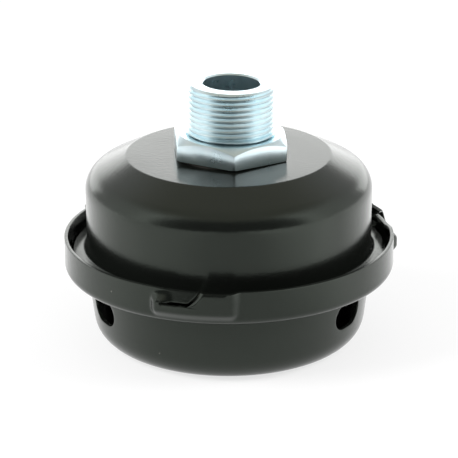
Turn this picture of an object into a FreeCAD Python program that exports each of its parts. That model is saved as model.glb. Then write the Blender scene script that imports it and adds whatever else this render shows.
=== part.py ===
"""Compressor intake filter: a pressed bell and pan with a twist lock, a pipe nipple and a pleated element.

Sizes are in millimetres and degrees. Z is up and is the filter's axis. The origin is the centre of the
pan's underside. Azimuth 0 faces -Y, the front, and grows towards +X. Every shape is drawn at azimuth 0
and then turned to its place.
"""

import FreeCAD, Part
import math
import os

V = FreeCAD.Vector
AXIS = V(0, 0, 1)
FULL_TURN = 360.0

# Driving dimensions, pressed sheet and clearances
SHEET = 1.0              # thickness of the pan's and the bell's steel sheet
RUNNING_GAP = 0.4        # between the bell and the pan where they slide past each other
SEAT_GAP = 0.3           # between faces that only just clear each other
EDGE_ROUND = 0.3         # rounding of a sheared sheet edge

# Driving dimensions, nipple and its fastening
THREAD_R = 13.22         # outside of the male pipe thread
THREAD_LENGTH = 14.95    # from the hexagon to the top
THREAD_CHAMFER = 0.9
RELIEF_DEPTH = 1.22      # run-out groove above the hexagon, below the thread's outside
RELIEF_LENGTH = 1.1
NIPPLE_WALL = 4.92       # from the thread's outside to the bore
BORE_CHAMFER = 0.4
HEX_RIM = 2.655          # from the thread's outside to the hexagon's flats
HEX_HEIGHT = 5.9
HEX_CHAMFER_INSET = 0.575  # from the hexagon's flats in to where its chamfer starts
HEX_AZIMUTH = 3.5        # of the corner that faces the front
CHAMFER_ANGLE = 30.0
WASHER_HEIGHT = 0.8      # sealing washer under the hexagon
WASHER_INSET = 0.6       # the sealing washer is this much smaller than the hexagon
HOLE_GAP = 0.38          # around the thread in the bell and in both washers
BACKING_HEIGHT = 1.0
NUT_RIM = 3.78           # from the thread's outside to the lock nut's flats
NUT_HEIGHT = 6.0
NUT_BORE_GAP = 0.1
THREAD_PAST_NUT = 1.5

# Driving dimensions, filter element, from the inside out
CAP_BORE_GAP = 1.0       # between the lock nut's corners and the end caps
CAP_SKIRT = 0.8          # thickness of an end cap's skirts
CAP_PLATE = 2.5
CAP_SKIRT_DEPTH = 3.0
CAP_ROUND = 0.8
CAP_SHOULDER_GAP = 0.47  # between the top cap's edge and the bell's shoulder
BEAD_WIDTH = 3.0         # sealing bead on an end cap
CORE_WALL = 0.6
CORE_GAP = 0.1
CORE_ROWS = 5
CORE_HOLES = 12
CORE_HOLE_R = 2.2
PLEATS = 42
PLEAT_DEPTH = 8.4
PAPER = 0.7              # thickness of the pleated paper
FOLD_WIDTH = 0.9         # flat at each fold
FOLD_GAP = 0.1           # between the folds and the core or the foam
FOAM_WALL = 3.2          # foam sleeve around the pleats

# Driving dimensions, pan
ELEMENT_GAP = 6.27       # from the element to the outside of the pan's wall
PAN_TAPER = 1.7          # how much wider the pan is under the rim than at its bottom
PAN_ROUND = 8.0          # rounding between bottom and wall
CHANNEL_Z = 21.7         # underside of the rim's floor
CHANNEL_ROUND = 1.2      # rounding where the wall turns out into the rim's floor
RIM_WIDTH = 6.6          # from the wall out to the rim's outside
RIM_ROUND = 3.0          # rounding under the rim

# Driving dimensions, air holes through the pan's wall
INTAKE_COUNT = 3
INTAKE_AZIMUTH = 57.0    # the first one; the others follow at equal angles
INTAKE_DROP = 7.2        # from the rim's floor down to the middle of a hole
INTAKE_WIDTH = 12.6
INTAKE_HEIGHT = 8.7

# Driving dimensions, twist lock
LOCK_COUNT = 3
POCKET_END = 2.8         # azimuth of the first pocket's outer end, on the open side
POCKET_OUT = 1.7         # how far a pocket stands out of the rim
POCKET_RISE = 2.2        # from the rim's underside to the pocket's underside
POCKET_DEPTH = 2.8       # from the pocket's underside to its sheared edge
POCKET_ROUND = 2.6       # a pressed pocket has no sharp edges
SLIT_BELOW = 0.8         # from the flange's top face down to the pocket's sheared edge
FLANGE_DEPTH = 4.0       # from the rim's top down to the bell's flange
FLANGE_GAP = 1.6         # between the flange's edge and the rim's inside
TAB_SWEEP = 10.0         # width of a tab, degrees
TWIST = 16.5             # turn between open and locked, degrees
TAB_SIDE_GAP = 0.6       # between a tab and each end of its way
LIP_SLANT = 5.6          # degrees that the lip's sheared end leans over
LIP_BEND = 0.5           # share of the lip's length, from its root, that is bent; the rest runs level

# Driving dimensions, bell
BELL_HEIGHT = 28.6       # from the flange's top face to the bell's
BELL_INSET = 0.1         # the wall's foot stands this much inside the pan's wall
BELL_TAPER = 0.3         # how much wider the wall is at the shoulder than at its foot
SHOULDER_WIDTH = 12.1    # from the flat disc out to the wall
SHOULDER_DROP = 5.9      # from the top face to where shoulder and wall would meet
SHOULDER_ROUND = 7.0
DISC_ROUND = 1.5
FLANGE_ROUND = 1.5

# Ratio of a hexagon's size across corners to its size across flats
CORNERS_TO_FLATS = 1.0 / math.cos(math.radians(FULL_TURN / 12))

# Sizes that follow: nipple and nut
HOLE_R = THREAD_R + HOLE_GAP
RELIEF_R = THREAD_R - RELIEF_DEPTH
BORE_R = THREAD_R - NIPPLE_WALL
HEX_FLAT_R = THREAD_R + HEX_RIM
NUT_FLAT_R = THREAD_R + NUT_RIM
NUT_CORNER_R = NUT_FLAT_R * CORNERS_TO_FLATS

# Sizes that follow: radii of the element, the pan and the bell
CAP_INNER_R = NUT_CORNER_R + CAP_BORE_GAP
CORE_INNER_R = CAP_INNER_R + CAP_SKIRT + CORE_GAP
CORE_OUTER_R = CORE_INNER_R + CORE_WALL
MEDIA_INNER_R = CORE_OUTER_R + FOLD_GAP
MEDIA_R = MEDIA_INNER_R + PLEAT_DEPTH
FOAM_INNER_R = MEDIA_R + FOLD_GAP
CAP_OUTER_R = FOAM_INNER_R + FOAM_WALL
PAN_LOW_R = CAP_OUTER_R + ELEMENT_GAP
PAN_TOP_R = PAN_LOW_R + PAN_TAPER
RIM_R = PAN_TOP_R + RIM_WIDTH
RIM_INNER_R = RIM_R - SHEET
FLANGE_R = RIM_INNER_R - FLANGE_GAP
POCKET_R = RIM_R + POCKET_OUT
TAB_R = POCKET_R - SHEET - RUNNING_GAP
LIP_LEAN = FLANGE_GAP - RUNNING_GAP
BELL_LOW_R = PAN_TOP_R - BELL_INSET
BELL_R = BELL_LOW_R + BELL_TAPER
DISC_R = BELL_R - SHOULDER_WIDTH

# Sizes that follow: heights
INTAKE_Z = CHANNEL_Z - INTAKE_DROP
POCKET_Z = CHANNEL_Z + POCKET_RISE
SLIT_LOW = POCKET_Z + POCKET_DEPTH
FLANGE_TOP = SLIT_LOW + SLIT_BELOW
SLIT_TOP = FLANGE_TOP + SEAT_GAP
RIM_TOP = FLANGE_TOP + FLANGE_DEPTH
BELL_TOP = FLANGE_TOP + BELL_HEIGHT
HEX_Z = BELL_TOP + WASHER_HEIGHT
HEX_TOP = HEX_Z + HEX_HEIGHT
NIPPLE_TOP = HEX_TOP + THREAD_LENGTH
BELL_INSIDE_TOP = BELL_TOP - SHEET
NUT_TOP = BELL_INSIDE_TOP - BACKING_HEIGHT
NUT_LOW = NUT_TOP - NUT_HEIGHT
NIPPLE_LOW = NUT_LOW - THREAD_PAST_NUT
ELEMENT_LOW = SHEET
ELEMENT_TOP = BELL_INSIDE_TOP - SEAT_GAP

# The bead is as high as the cap's edge needs to stay under the bell's sloping shoulder
SHOULDER_SLOPE = SHOULDER_DROP / SHOULDER_WIDTH
SHOULDER_FALL = (CAP_OUTER_R - DISC_R) * SHOULDER_SLOPE + SHEET * (math.hypot(1.0, SHOULDER_SLOPE) - 1.0)
BEAD_HEIGHT = max(SHOULDER_FALL - SEAT_GAP, 0.0) + CAP_SHOULDER_GAP
TROUGH_LOW = ELEMENT_LOW + BEAD_HEIGHT + CAP_PLATE
TROUGH_TOP = ELEMENT_TOP - BEAD_HEIGHT - CAP_PLATE


def degrees_along(length, radius):
    """Angle that an arc of this length spans."""
    return math.degrees(length / radius)


WALL_SWEEP = degrees_along(SHEET, POCKET_R)
SIDE_SWEEP = degrees_along(TAB_SIDE_GAP, TAB_R)
TAB_END = POCKET_END - WALL_SWEEP - SIDE_SWEEP
TAB_START = TAB_END - TAB_SWEEP
LIP_END = TAB_START - SIDE_SWEEP
POCKET_START = TAB_START - TWIST - SIDE_SWEEP - WALL_SWEEP


def turned(shape, azimuth):
    """A copy of the shape, turned about the filter's axis."""
    copy = shape.copy()
    copy.rotate(V(0, 0, 0), AXIS, azimuth)
    return copy


def around(shape, count, azimuth=0.0):
    """Equally spaced copies of the shape, the first at the given azimuth."""
    return [turned(shape, azimuth + i * FULL_TURN / count) for i in range(count)]


def unit(start, end):
    """Direction from one point of an outline to the next."""
    length = math.hypot(end[0] - start[0], end[1] - start[1])
    return (end[0] - start[0]) / length, (end[1] - start[1]) / length


def offset_corner(point, before, after, distance):
    """Move a corner to the left of its two directions by the same distance."""
    cosine = before[0] * after[0] + before[1] * after[1]
    scale = distance / (1.0 + cosine)
    across = -(before[1] + after[1])
    along = before[0] + after[0]
    return point[0] + across * scale, point[1] + along * scale


def offset_path(path, distance):
    """Move a path of (radius, height, rounding) corners to its left, roundings staying concentric."""
    moved = []
    last = len(path) - 1
    for i, corner in enumerate(path):
        before = unit(path[max(i - 1, 0)], path[max(i, 1)])
        after = unit(path[min(i, last - 1)], path[min(i + 1, last)])
        turn = before[0] * after[1] - before[1] * after[0]
        rounding = corner[2]
        if rounding > 0 and 0 < i < last:
            rounding = max(rounding - math.copysign(distance, turn * distance), 0.0)
        moved.append(offset_corner(corner, before, after, distance) + (rounding,))
    return moved


def rounded_face(corners):
    """A flat face through (radius, height, rounding) corners, drawn at azimuth 0."""
    count = len(corners)
    area = sum(corners[i - 1][0] * corners[i][1] - corners[i][0] * corners[i - 1][1] for i in range(count))
    if area < 0:
        corners = corners[::-1]
    arcs = []
    for i, corner in enumerate(corners):
        back = unit(corner, corners[i - 1])
        ahead = unit(corner, corners[(i + 1) % count])
        if corner[2] <= 0:
            arcs.append(((corner[0], corner[1]),))
            continue
        half = 0.5 * math.acos(back[0] * ahead[0] + back[1] * ahead[1])
        reach = corner[2] / math.tan(half)
        middle = unit((0.0, 0.0), (back[0] + ahead[0], back[1] + ahead[1]))
        inward = corner[2] / math.sin(half) - corner[2]
        arcs.append(tuple((corner[0] + d[0] * s, corner[1] + d[1] * s)
                          for d, s in ((back, reach), (middle, inward), (ahead, reach))))
    edges = []
    for i, arc in enumerate(arcs):
        points = [V(0, -radius, height) for radius, height in arc]
        following = arcs[(i + 1) % count][0]
        if len(points) == 3:
            edges.append(Part.Arc(*points).toShape())
        edges.append(Part.LineSegment(points[-1], V(0, -following[0], following[1])).toShape())
    return Part.Face(Part.Wire(edges))


def revolved(corners, sweep=FULL_TURN):
    """Solid swept about the axis from azimuth 0 by the given angle."""
    return rounded_face(corners).revolve(V(0, 0, 0), AXIS, sweep)


def ring(inner_r, outer_r, low, high):
    """A flat washer or a plain tube."""
    return revolved([(inner_r, low, 0), (outer_r, low, 0), (outer_r, high, 0), (inner_r, high, 0)])


def outline_prism(edges, inner_r, outer_r):
    """Push an outline drawn on the plane X-Z through a wall, from one radius to another, at the front."""
    face = Part.Face(Part.Wire(edges))
    face.translate(V(0, -outer_r, 0))
    return face.extrude(V(0, outer_r - inner_r, 0))


def polygon_edges(points):
    """Closed outline through (x, z) points."""
    corners = [V(x, 0, z) for x, z in points]
    return Part.makePolygon(corners + corners[:1]).Edges


def rounded_uprights(solid, radius, rounding):
    """Round the solid's upright edges that lie at the given radius."""
    chosen = []
    for edge in solid.Edges:
        ends = [vertex.Point for vertex in edge.Vertexes]
        if len(ends) != 2:
            continue
        upright = math.hypot(ends[0].x - ends[1].x, ends[0].y - ends[1].y) < 1e-4
        if upright and abs(math.hypot(ends[0].x, ends[0].y) - radius) < 1e-3:
            chosen.append(edge)
    return solid.makeFillet(rounding, chosen)


def intake_cutter():
    """Oblong hole with round ends, through the pan's wall at the front."""
    end_r = INTAKE_HEIGHT / 2.0
    reach = INTAKE_WIDTH / 2.0 - end_r
    low = INTAKE_Z - end_r
    high = INTAKE_Z + end_r
    edges = [
        Part.LineSegment(V(-reach, 0, low), V(reach, 0, low)).toShape(),
        Part.Arc(V(reach, 0, low), V(reach + end_r, 0, INTAKE_Z), V(reach, 0, high)).toShape(),
        Part.LineSegment(V(reach, 0, high), V(-reach, 0, high)).toShape(),
        Part.Arc(V(-reach, 0, high), V(-reach - end_r, 0, INTAKE_Z), V(-reach, 0, low)).toShape(),
    ]
    return outline_prism(edges, PAN_LOW_R - PAN_ROUND, RIM_R)


def pocket_bulge():
    """Outside of one pocket: a sector of the rim pushed out, with rounded ends."""
    sweep = POCKET_END - POCKET_START
    inside_r = RIM_INNER_R - SHEET
    bulge = revolved([
        (inside_r, POCKET_Z, 0), (POCKET_R, POCKET_Z, POCKET_ROUND),
        (POCKET_R, RIM_TOP, EDGE_ROUND), (inside_r, RIM_TOP, 0)], sweep)
    return turned(rounded_uprights(bulge, POCKET_R, POCKET_ROUND), POCKET_START)


def pocket_hollow():
    """Inside of one pocket, open at the top."""
    sweep = POCKET_END - POCKET_START - 2 * WALL_SWEEP
    inside_r = RIM_INNER_R - SHEET
    inner_round = max(POCKET_ROUND - SHEET, EDGE_ROUND)
    hollow = revolved([
        (inside_r, POCKET_Z + SHEET, 0), (POCKET_R - SHEET, POCKET_Z + SHEET, inner_round),
        (POCKET_R - SHEET, RIM_TOP + SHEET, 0), (inside_r, RIM_TOP + SHEET, 0)], sweep)
    return turned(rounded_uprights(hollow, POCKET_R - SHEET, inner_round), POCKET_START + WALL_SWEEP)


def lip_end_line(low, high):
    """Where the sheared end of the lip crosses two heights, as distances along the rim's tangent."""
    rise = RIM_TOP - SLIT_LOW
    return [RIM_R * math.sin(math.radians(LIP_END - POCKET_START - LIP_SLANT * (RIM_TOP - z) / rise))
            for z in (low, high)]


def slit_cutter():
    """Takes the pocket's wall away beside and above the slit, where the lip stays at the rim's radius."""
    high = RIM_TOP + SHEET
    at_low, at_high = lip_end_line(SLIT_LOW, high)
    outline = [(0, SLIT_LOW), (at_low, SLIT_LOW), (at_high, high), (0, high)]
    prism = outline_prism(polygon_edges(outline), RIM_INNER_R - SHEET, POCKET_R + SHEET)
    return turned(prism, POCKET_START)


def lip_section(azimuth, lean):
    """Cross-section of the lip: the rim's sheet above the slit, its top leaning inwards."""
    corners = [V(0, -RIM_INNER_R, SLIT_TOP), V(0, -RIM_R, SLIT_TOP),
               V(0, -RIM_R + lean, RIM_TOP), V(0, -RIM_INNER_R + lean, RIM_TOP)]
    return turned(Part.makePolygon(corners + corners[:1]), azimuth)


def lip_lean(share):
    """How far the lip's top leans in at a share of its length: an even bend near the root, then level."""
    bend = min(share / LIP_BEND, 1.0)
    return LIP_LEAN * bend * bend * (3.0 - 2.0 * bend)


def lip():
    """The strip of rim over the slit that holds a tab down, its end sheared on a slant."""
    stations = 9
    wires = []
    for i in range(stations):
        share = i / (stations - 1)
        wires.append(lip_section(POCKET_START + share * (LIP_END - POCKET_START), lip_lean(share)))
    strip = Part.makeLoft(wires, True)
    low = SLIT_TOP - SHEET
    high = RIM_TOP + SHEET
    at_low, at_high = lip_end_line(low, high)
    outline = [(at_low, low), (RIM_R, low), (RIM_R, high), (at_high, high)]
    beyond = outline_prism(polygon_edges(outline), RIM_INNER_R - 2 * SHEET, POCKET_R + SHEET)
    return strip.cut(turned(beyond, POCKET_START))


def pan_path():
    """Outside of the pan from the middle of its bottom to the rim's top edge."""
    taper = (PAN_TOP_R - PAN_LOW_R) / (CHANNEL_Z - PAN_ROUND)
    return [
        (0, 0, 0), (PAN_LOW_R - taper * PAN_ROUND, 0, PAN_ROUND), (PAN_TOP_R, CHANNEL_Z, CHANNEL_ROUND),
        (RIM_R, CHANNEL_Z, RIM_ROUND), (RIM_R, RIM_TOP, EDGE_ROUND)]


def lower_pan():
    """Deep-drawn pan with a channelled rim, oblong air holes and the pockets of the twist lock."""
    outer = pan_path()
    inner = offset_path(outer, SHEET)
    body = revolved(outer + [(0, RIM_TOP, 0)])
    body = body.fuse(around(pocket_bulge(), LOCK_COUNT))
    mouth = RIM_TOP + SHEET
    hollow = revolved(inner[:-1] + [(RIM_INNER_R, mouth, 0), (0, mouth, 0)])
    hollow = hollow.fuse(around(pocket_hollow(), LOCK_COUNT))
    pan = body.cut(hollow)
    pan = pan.cut(around(slit_cutter(), LOCK_COUNT))
    pan = pan.fuse(around(lip(), LOCK_COUNT))
    pan = pan.cut(around(intake_cutter(), INTAKE_COUNT, INTAKE_AZIMUTH))
    return pan.removeSplitter()


def bell_housing():
    """Pressed bell: flat disc, rounded shoulder, wall and a flange with the tabs of the twist lock."""
    outer = [
        (HOLE_R, BELL_TOP, 0), (DISC_R, BELL_TOP, DISC_ROUND),
        (BELL_R, BELL_TOP - SHOULDER_DROP, SHOULDER_ROUND), (BELL_LOW_R, FLANGE_TOP, FLANGE_ROUND),
        (FLANGE_R, FLANGE_TOP, EDGE_ROUND)]
    inner = offset_path(outer, -SHEET)
    bell = revolved(outer + inner[::-1])
    low = FLANGE_TOP - SHEET
    inside_r = FLANGE_R - SHEET
    tab = revolved([
        (inside_r, low, 0), (TAB_R, low, 0), (TAB_R, FLANGE_TOP, 0), (inside_r, FLANGE_TOP, 0)], TAB_SWEEP)
    tab = rounded_uprights(tab, TAB_R, SHEET)
    return bell.fuse(around(tab, LOCK_COUNT, TAB_START)).removeSplitter()


def hexagon(flat_r, low, high, azimuth, chamfer_r, both_ends):
    """Hexagonal prism with turned chamfers on its top or on both ends."""
    corner_r = flat_r * CORNERS_TO_FLATS
    corners = around(Part.Vertex(V(0, -corner_r, low)), 6, azimuth)
    outline = [corner.Point for corner in corners + corners[:1]]
    prism = Part.Face(Part.makePolygon(outline)).extrude(V(0, 0, high - low))
    drop = (corner_r - chamfer_r) * math.tan(math.radians(CHAMFER_ANGLE))
    foot = [(chamfer_r, low, 0), (corner_r, low + drop, 0)] if both_ends else [(corner_r, low, 0)]
    head = [(corner_r, high - drop, 0), (chamfer_r, high, 0)]
    return prism.common(revolved([(0, low, 0)] + foot + head + [(0, high, 0)]))


def inlet_nipple():
    """Turned nipple: hexagon, male thread above and below it, and a through bore."""
    thread_start = HEX_TOP + RELIEF_LENGTH
    root_r = THREAD_R - THREAD_CHAMFER
    stem = revolved([
        (0, NIPPLE_LOW, 0), (root_r, NIPPLE_LOW, 0), (THREAD_R, NIPPLE_LOW + THREAD_CHAMFER, 0),
        (THREAD_R, HEX_Z, 0), (RELIEF_R, HEX_Z, 0), (RELIEF_R, thread_start, 0),
        (THREAD_R, thread_start + RELIEF_DEPTH, 0), (THREAD_R, NIPPLE_TOP - THREAD_CHAMFER, 0),
        (root_r, NIPPLE_TOP, 0), (0, NIPPLE_TOP, 0)])
    nut = hexagon(HEX_FLAT_R, HEX_Z, HEX_TOP, HEX_AZIMUTH, HEX_FLAT_R - HEX_CHAMFER_INSET, False)
    mouth_r = BORE_R + BORE_CHAMFER
    bore = revolved([
        (0, NIPPLE_LOW, 0), (mouth_r, NIPPLE_LOW, 0), (BORE_R, NIPPLE_LOW + BORE_CHAMFER, 0),
        (BORE_R, NIPPLE_TOP - BORE_CHAMFER, 0), (mouth_r, NIPPLE_TOP, 0), (0, NIPPLE_TOP, 0)])
    return stem.fuse(nut).cut(bore).removeSplitter()


def sealing_washer():
    """Fibre washer under the hexagon."""
    return ring(HOLE_R, HEX_FLAT_R - WASHER_INSET, BELL_TOP, HEX_Z)


def backing_washer():
    """Steel washer that spreads the lock nut's load inside the bell."""
    return ring(HOLE_R, NUT_CORNER_R, NUT_TOP, BELL_INSIDE_TOP)


def lock_nut():
    """Thin nut that clamps the nipple to the bell from inside."""
    nut = hexagon(NUT_FLAT_R, NUT_LOW, NUT_TOP, 0.0, NUT_FLAT_R, True)
    return nut.cut(ring(0, THREAD_R + NUT_BORE_GAP, NUT_LOW, NUT_TOP))


def bottom_cap():
    """Moulded end cap: a plate with two skirts that hold the pleats and the core, and a sealing bead."""
    plate_low = ELEMENT_LOW + BEAD_HEIGHT
    skirt_top = TROUGH_LOW + CAP_SKIRT_DEPTH
    bead_r = (CAP_INNER_R + CAP_OUTER_R) / 2.0
    trough_inner_r = CAP_INNER_R + CAP_SKIRT
    trough_outer_r = FOAM_INNER_R
    half = BEAD_WIDTH / 2.0
    return revolved([
        (CAP_INNER_R, plate_low, CAP_ROUND), (bead_r - half, plate_low, 0),
        (bead_r - half / 2.0, ELEMENT_LOW, 0), (bead_r + half / 2.0, ELEMENT_LOW, 0),
        (bead_r + half, plate_low, 0), (CAP_OUTER_R, plate_low, CAP_ROUND),
        (CAP_OUTER_R, skirt_top, 0), (trough_outer_r, skirt_top, 0), (trough_outer_r, TROUGH_LOW, 0),
        (trough_inner_r, TROUGH_LOW, 0), (trough_inner_r, skirt_top, 0), (CAP_INNER_R, skirt_top, 0)])


def top_cap():
    """The same moulding, upside down on top of the pleats."""
    return bottom_cap().mirror(V(0, 0, (ELEMENT_LOW + ELEMENT_TOP) / 2.0), AXIS)


def core_tube():
    """Perforated tube that keeps the pleats from being sucked inwards."""
    tube = ring(CORE_INNER_R, CORE_OUTER_R, TROUGH_LOW, TROUGH_TOP)
    span = TROUGH_TOP - TROUGH_LOW - 2 * CAP_SKIRT_DEPTH
    pitch = span / CORE_ROWS
    through = 2 * CORE_WALL + CAP_SKIRT
    drills = []
    for row in range(CORE_ROWS):
        z = TROUGH_LOW + CAP_SKIRT_DEPTH + pitch * (row + 0.5)
        drill = Part.makeCylinder(CORE_HOLE_R, through, V(0, -CORE_INNER_R + CAP_SKIRT, z), V(0, -1, 0))
        stagger = 0.5 * (row % 2) * FULL_TURN / CORE_HOLES
        drills += around(drill, CORE_HOLES, stagger)
    return tube.cut(drills)


def pleat_loop(side):
    """One face line of the folded paper: the folds' centre line moved sideways by half its thickness."""
    inner_r = MEDIA_INNER_R + PAPER / 2.0
    outer_r = MEDIA_R - PAPER / 2.0
    pitch = 2 * math.pi / PLEATS
    centre = []
    for i in range(PLEATS):
        for radius, turn in ((outer_r, i), (inner_r, i + 0.5)):
            half = FOLD_WIDTH / 2.0 / radius
            for angle in (turn * pitch - half, turn * pitch + half):
                centre.append((radius * math.sin(angle), -radius * math.cos(angle)))
    moved = []
    for i, point in enumerate(centre):
        before = unit(centre[i - 1], point)
        after = unit(point, centre[(i + 1) % len(centre)])
        moved.append(offset_corner(point, before, after, side * PAPER / 2.0))
    return Part.makePolygon([V(x, y, TROUGH_LOW) for x, y in moved + moved[:1]])


def pleated_media():
    """Filter paper folded into a ring of pleats."""
    outer = Part.Face(pleat_loop(-1)).extrude(V(0, 0, TROUGH_TOP - TROUGH_LOW))
    inner = Part.Face(pleat_loop(1)).extrude(V(0, 0, TROUGH_TOP - TROUGH_LOW))
    return outer.cut(inner)


def foam_wrap():
    """Open-cell foam sleeve between the two end caps, stretched over the pleats."""
    return ring(FOAM_INNER_R, CAP_OUTER_R, TROUGH_LOW + CAP_SKIRT_DEPTH, TROUGH_TOP - CAP_SKIRT_DEPTH)


PARTS = {
    "lower_pan": lower_pan,
    "bell_housing": bell_housing,
    "inlet_nipple": inlet_nipple,
    "sealing_washer": sealing_washer,
    "backing_washer": backing_washer,
    "lock_nut": lock_nut,
    "top_cap": top_cap,
    "bottom_cap": bottom_cap,
    "core_tube": core_tube,
    "pleated_media": pleated_media,
    "foam_wrap": foam_wrap,
}


def main():
    """Write one solid per piece."""
    os.makedirs("parts", exist_ok=True)
    for name, make in PARTS.items():
        shape = make()
        solids = shape.Solids
        if len(solids) != 1 or not shape.isValid():
            raise ValueError(f"{name}: {len(solids)} solids, valid: {shape.isValid()}")
        solids[0].exportStep(f"parts/{name}.step")
        box = solids[0].BoundBox
        print(f"{name}: {solids[0].Volume:.0f} mm3, z {box.ZMin:.2f} to {box.ZMax:.2f}, "
              f"x {box.XMin:.2f} to {box.XMax:.2f}")


main()
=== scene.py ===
# %% [markdown]

# %% Load the frame
import math
import bmesh
import bpy
from mathutils import Matrix, Vector


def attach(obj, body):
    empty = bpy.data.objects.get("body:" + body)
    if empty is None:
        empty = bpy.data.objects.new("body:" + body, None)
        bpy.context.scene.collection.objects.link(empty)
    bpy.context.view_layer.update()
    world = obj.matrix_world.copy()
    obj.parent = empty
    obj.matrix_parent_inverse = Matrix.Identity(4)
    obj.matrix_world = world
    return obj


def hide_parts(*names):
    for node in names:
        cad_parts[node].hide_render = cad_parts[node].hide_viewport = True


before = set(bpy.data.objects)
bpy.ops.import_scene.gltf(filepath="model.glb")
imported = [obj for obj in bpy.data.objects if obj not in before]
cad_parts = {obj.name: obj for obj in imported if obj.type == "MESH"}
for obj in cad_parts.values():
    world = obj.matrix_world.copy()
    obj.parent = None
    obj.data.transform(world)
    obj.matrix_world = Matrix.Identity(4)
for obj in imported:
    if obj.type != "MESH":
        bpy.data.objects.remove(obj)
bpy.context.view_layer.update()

MM = 0.001

# %% [markdown]
# Everything on the filter is turned or pressed round one upright axis. So most of the shapes start as a
# profile, which is half of a cross-section, and get their roundness by spinning. These helpers draw a
# profile the way it is drawn by hand: a single point, extruded from corner to corner. An azimuth of 0
# faces the front, -Y, and grows towards +X.

# %% Helpers for drawing and choosing
def clear_selection():
    """Leave edit mode with nothing selected."""
    if bpy.context.object and bpy.context.object.mode != "OBJECT":
        bpy.ops.object.mode_set(mode="OBJECT")
    bpy.ops.object.select_all(action="DESELECT")


def make_active(piece):
    """Select one piece alone."""
    clear_selection()
    piece.select_set(True)
    bpy.context.view_layer.objects.active = piece
    return piece


def azimuth_of(place):
    """Angle of a point round the axis, in degrees."""
    return math.degrees(math.atan2(place.x, -place.y))


def at_azimuth(radius, height, azimuth=0.0):
    """A point in metres from a radius and a height in millimetres and an azimuth in degrees."""
    turn = math.radians(azimuth)
    return Vector((radius * math.sin(turn), -radius * math.cos(turn), height)) * MM


def radius_of(place):
    """Distance from the axis, in millimetres."""
    return math.hypot(place.x, place.y) / MM


def rounded(corners, steps=6):
    """Points of a profile given as (radius, height, rounding) corners, with its roundings as short runs."""
    points = []
    for i, (radius, height, rounding) in enumerate(corners):
        corner = Vector((radius, height))
        if not rounding:
            points.append(corner)
            continue
        back = (Vector(corners[i - 1][:2]) - corner).normalized()
        ahead = (Vector(corners[(i + 1) % len(corners)][:2]) - corner).normalized()
        half = back.angle(ahead) / 2
        centre = corner + (back + ahead).normalized() * (rounding / math.sin(half))
        first = corner + back * (rounding / math.tan(half)) - centre
        last = corner + ahead * (rounding / math.tan(half)) - centre
        points += [centre + first.slerp(last, k / steps).normalized() * rounding for k in range(steps + 1)]
    return points


def pick(piece, kind, test):
    """In edit mode, select only the vertices, edges or faces whose middle passes the test."""
    bpy.ops.mesh.select_mode(type={"verts": "VERT", "edges": "EDGE", "faces": "FACE"}[kind])
    bpy.ops.mesh.select_all(action="DESELECT")
    shape = bmesh.from_edit_mesh(piece.data)
    chosen = 0
    for part in getattr(shape, kind):
        middle = part.co if kind == "verts" else sum((v.co for v in part.verts), Vector()) / len(part.verts)
        if test(part, middle):
            part.select_set(True)
            chosen += 1
    bmesh.update_edit_mesh(piece.data)
    return chosen


def drawn_profile(name, points, azimuth=0.0):
    """A new piece in edit mode: one vertex, extruded along the profile."""
    clear_selection()
    places = [at_azimuth(p.x, p.y, azimuth) for p in points]
    bpy.ops.mesh.primitive_plane_add(size=MM, location=places[0])
    piece = bpy.context.object
    piece.name = name
    piece.data.name = name
    bpy.ops.object.transform_apply(location=True, rotation=True, scale=True)
    bpy.ops.object.mode_set(mode="EDIT")
    bpy.ops.mesh.select_mode(type="VERT")
    bpy.ops.mesh.select_all(action="SELECT")
    bpy.ops.mesh.merge(type="CENTER")
    for before, after in zip(places, places[1:]):
        bpy.ops.mesh.extrude_region_move(TRANSFORM_OT_translate={"value": after - before})
    return piece


def spun(name, points, azimuth, sweeps):
    """Spin a drawn profile round the axis, in one or more sweeps of (degrees, steps)."""
    piece = drawn_profile(name, points, azimuth)
    bpy.ops.mesh.select_all(action="SELECT")
    for sweep, steps in sweeps:
        bpy.ops.mesh.spin(steps=steps, angle=math.radians(-sweep), center=(0, 0, 0), axis=(0, 0, 1))
    bpy.ops.mesh.select_all(action="SELECT")
    bpy.ops.mesh.remove_doubles(threshold=1e-6)
    bpy.ops.mesh.normals_make_consistent(inside=False)
    bpy.ops.object.mode_set(mode="OBJECT")
    return piece


def apply_modifier(piece, kind, **settings):
    """Add a modifier, set it and apply it."""
    make_active(piece)
    modifier = piece.modifiers.new(kind.title(), kind)
    for key, value in settings.items():
        setattr(modifier, key, value)
    bpy.ops.object.modifier_apply(modifier=modifier.name)
    return piece


def bevelled(piece, width, angle):
    """Round the edges at which the surface turns by more than an angle."""
    return apply_modifier(piece, "BEVEL", width=width * MM, segments=2, limit_method="ANGLE",
                          angle_limit=math.radians(angle))


def smoothed(piece, angle):
    """Shade a piece smoothly, but keep the edges that are sharper than an angle."""
    make_active(piece)
    bpy.ops.object.shade_smooth_by_angle(angle=math.radians(angle))


def widest(piece):
    """Largest distance from the axis on a piece, in millimetres."""
    return round(max(radius_of(vertex.co) for vertex in piece.data.vertices), 2)


# %% [markdown]
# The camera stands where the photographer's did: 0.76 m away, looking down by about 20 degrees, with a long
# lens. Its place was found by fitting the ellipses of the rim, the bell and the bore.

# %% Camera
TARGET = Vector((0, 0, 32.5)) * MM
EYE = Vector((0, -708.2, 294.1)) * MM
LENS = 201.3
ROLL = -0.26

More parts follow.
